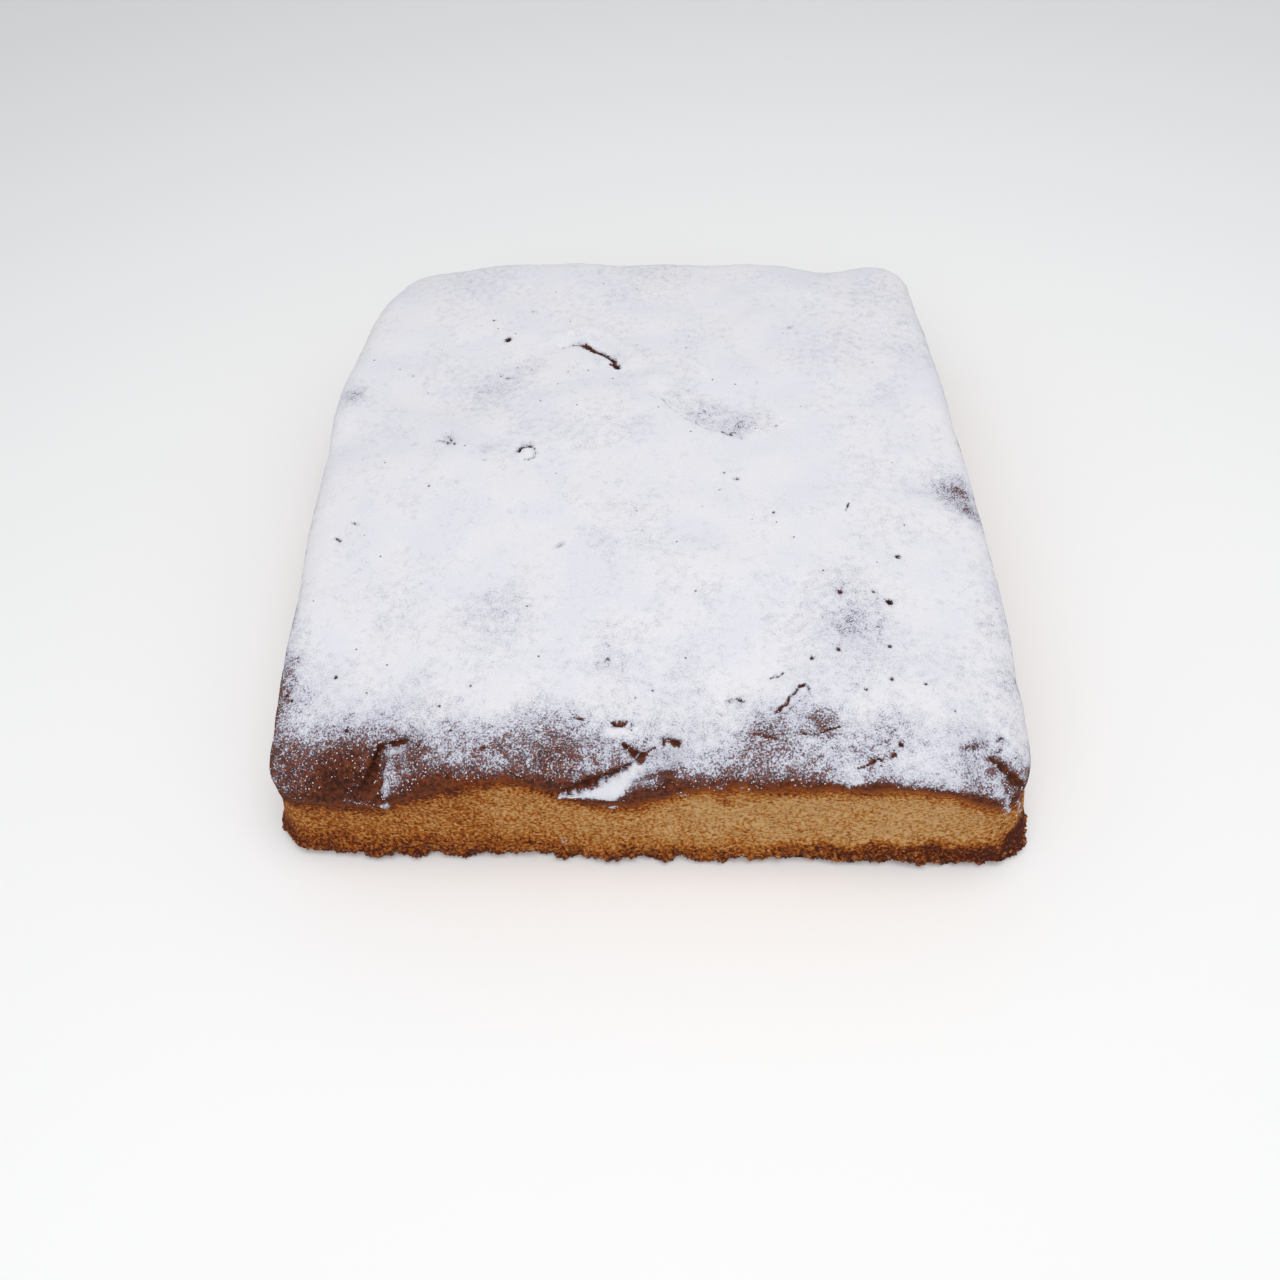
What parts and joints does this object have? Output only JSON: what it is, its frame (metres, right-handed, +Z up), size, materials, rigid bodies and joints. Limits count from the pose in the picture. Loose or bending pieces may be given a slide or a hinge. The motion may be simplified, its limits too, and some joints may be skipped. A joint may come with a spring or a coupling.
{
  "type": "yogurt cake",
  "caption": "Whole rectangular yogurt sponge cake with uncut golden walls, a folded browned crust and a powdered sugar dusting",
  "frame": {"origin": "middle of the underside the cake rests on", "axes": "+Z up, -Y towards the front wall with the long fold, +X to the right of it, the long sides along Y"},
  "size_m": [0.2274, 0.2468, 0.047],
  "materials": {
    "dusted_sponge": "dry powdered sugar over a browned crust, golden crumb on the walls"
  },
  "bodies": {
    "root": {"yogurt_cake": "dusted_sponge"}
  },
  "joints": []
}
